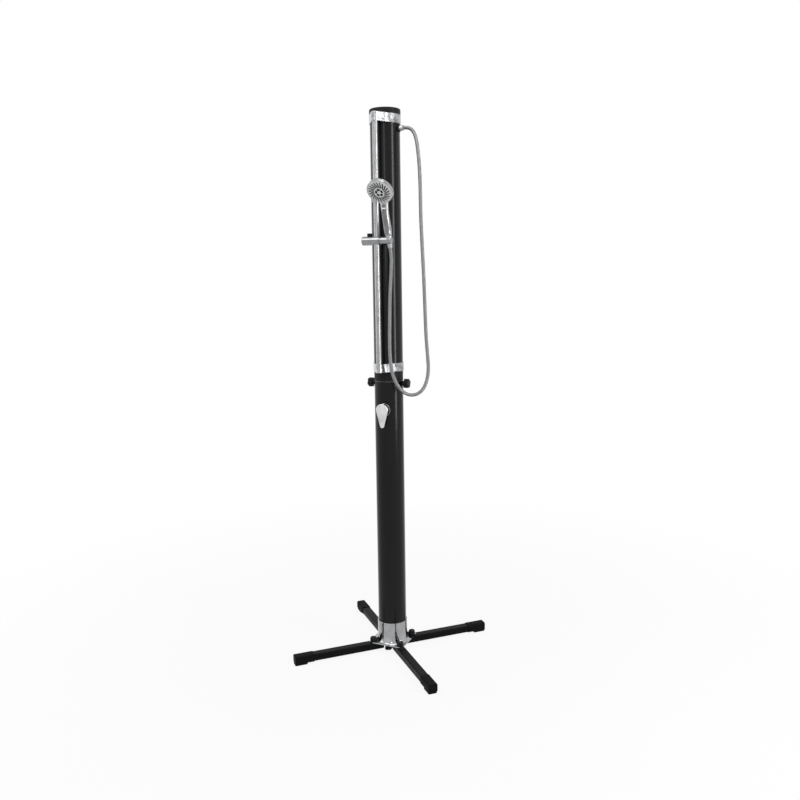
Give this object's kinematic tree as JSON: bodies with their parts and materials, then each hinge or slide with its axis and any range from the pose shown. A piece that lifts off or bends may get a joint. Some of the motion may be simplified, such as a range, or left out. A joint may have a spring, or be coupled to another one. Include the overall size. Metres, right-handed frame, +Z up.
{
  "type": "solar outdoor shower",
  "caption": "Free-standing solar shower: a black two-part tank column on cross legs, with a slide rail, adjustable hand shower, flexible hose and lever mixer tap.",
  "frame": {"origin": "on the tank column's axis, at the floor", "axes": "+Z up along the column; the spray face and the tap's lever face -Y; the hose outlet is on +X"},
  "size_m": [0.6264, 0.6264, 2.17],
  "materials": {
    "tank_black": "smooth glossy black",
    "black_plastic": "moulded black, low sheen",
    "chrome": "bright chrome plating",
    "painted_metal_black": "black powder coat",
    "rubber": "matt black rubber",
    "dark_steel": "blackened steel",
    "steel": "plain zinc steel",
    "brass": "machined brass",
    "white_plastic": "white acetal",
    "copper_pipe": "grey water pipe",
    "grey_plastic": "satin grey",
    "hose_steel": "interlocked metal hose, silver"
  },
  "bodies": {
    "column": {"top_cap": "black_plastic", "upper_tube": "tank_black", "top_band": "chrome", "lower_band": "chrome", "slide_rail": "chrome", "band_screws": "dark_steel", "tube_coupling": "black_plastic", "coupling_seals": "rubber", "joint_inserts": "brass", "lower_tube": "tank_black", "base_socket": "chrome", "leg_back_left": "painted_metal_black", "leg_back_right": "painted_metal_black", "leg_front_left": "painted_metal_black", "leg_front_right": "painted_metal_black", "foot_back_left": "rubber", "foot_back_right": "rubber", "foot_front_left": "rubber", "foot_front_right": "rubber", "flange_bolts": "dark_steel", "leg_nuts": "steel", "bottom_plug": "black_plastic", "inlet_elbow": "brass", "inlet_connector": "black_plastic", "cold_feed_pipe": "copper_pipe", "warm_draw_pipe": "copper_pipe", "mixed_water_pipe": "copper_pipe", "mixer_body": "brass", "mixer_cartridge": "white_plastic", "cartridge_nut": "brass", "tap_escutcheon": "black_plastic", "escutcheon_ring": "chrome", "outlet_nipple": "brass", "outlet_rose": "black_plastic", "outlet_hose_nut": "chrome", "hose_fall": "hose_steel", "hose_rise": "hose_steel"},
    "slider": {"slider_clamp": "chrome", "slider_bushing": "white_plastic", "holder_screw": "steel", "hose_swing": "hose_steel"},
    "lock": {"lock_knob": "chrome", "lock_tab": "black_plastic"},
    "holder": {"cone_holder": "chrome", "hose_tail": "hose_steel"},
    "handset": {"handset_body": "chrome", "handset_panel": "grey_plastic", "nozzle_plate": "grey_plastic", "handset_hose_nut": "chrome"},
    "selector": {"spray_selector": "chrome"},
    "tap_spindle": {"stem_yoke": "white_plastic"},
    "lever": {"tap_lever": "chrome", "lever_stem": "steel"},
    "joint_knob_left": {"joint_knob_left": "black_plastic"},
    "joint_knob_right": {"joint_knob_right": "black_plastic"},
    "base_knob_back_left": {"base_knob_back_left": "black_plastic"},
    "base_knob_back_right": {"base_knob_back_right": "black_plastic"},
    "base_knob_front_left": {"base_knob_front_left": "black_plastic"},
    "base_knob_front_right": {"base_knob_front_right": "black_plastic"}
  },
  "joints": [
    {"name": "slider_slide", "type": "slide", "parent": "column", "child": "slider", "axis": [0, 0, 1], "range_m": [-0.44, 0.4], "deforming": ["hose_fall", "hose_rise", "hose_swing", "hose_tail"]},
    {"name": "lock_turn", "type": "hinge", "parent": "slider", "child": "lock", "pos_m": [-0.039, -0.09, 1.677], "axis": [1, 0, 0], "range_deg": [0, 90]},
    {"name": "holder_tilt", "type": "hinge", "parent": "slider", "child": "holder", "pos_m": [0.025, -0.09, 1.677], "axis": [1, 0, 0], "range_deg": [-15, 15], "deforming": ["hose_swing", "hose_tail"]},
    {"name": "handset_lift", "type": "slide", "parent": "holder", "child": "handset", "axis": [0, -0.2924, 0.9563], "range_m": [0, 0.045], "deforming": ["hose_tail"]},
    {"name": "selector_turn", "type": "hinge", "parent": "handset", "child": "selector", "pos_m": [0.052, -0.16955, 1.8476], "axis": [0, 0.766, 0.6428], "range_deg": [0, 120]},
    {"name": "lever_swivel", "type": "hinge", "parent": "column", "child": "tap_spindle", "pos_m": [0.00479, -0.05479, 1.021], "axis": [0.0872, -0.9962, 0], "range_deg": [-45, 45]},
    {"name": "lever_lift", "type": "hinge", "parent": "tap_spindle", "child": "lever", "pos_m": [0.00523, -0.05977, 1.021], "axis": [-0.9962, -0.0872, 0], "range_deg": [0, 22]},
    {"name": "joint_knob_left_turn", "type": "hinge", "parent": "column", "child": "joint_knob_left", "pos_m": [-0.0575, 0, 1.122], "axis": [1, 0, 0], "continuous": true},
    {"name": "joint_knob_right_turn", "type": "hinge", "parent": "column", "child": "joint_knob_right", "pos_m": [0.0575, 0, 1.122], "axis": [1, 0, 0], "continuous": true},
    {"name": "base_knob_back_left_turn", "type": "hinge", "parent": "column", "child": "base_knob_back_left", "pos_m": [-0.061, 0.061, 0.04], "axis": [0, 0, 1], "continuous": true},
    {"name": "base_knob_back_right_turn", "type": "hinge", "parent": "column", "child": "base_knob_back_right", "pos_m": [0.061, 0.061, 0.04], "axis": [0, 0, 1], "continuous": true},
    {"name": "base_knob_front_left_turn", "type": "hinge", "parent": "column", "child": "base_knob_front_left", "pos_m": [-0.061, -0.061, 0.04], "axis": [0, 0, 1], "continuous": true},
    {"name": "base_knob_front_right_turn", "type": "hinge", "parent": "column", "child": "base_knob_front_right", "pos_m": [0.061, -0.061, 0.04], "axis": [0, 0, 1], "continuous": true}
  ]
}
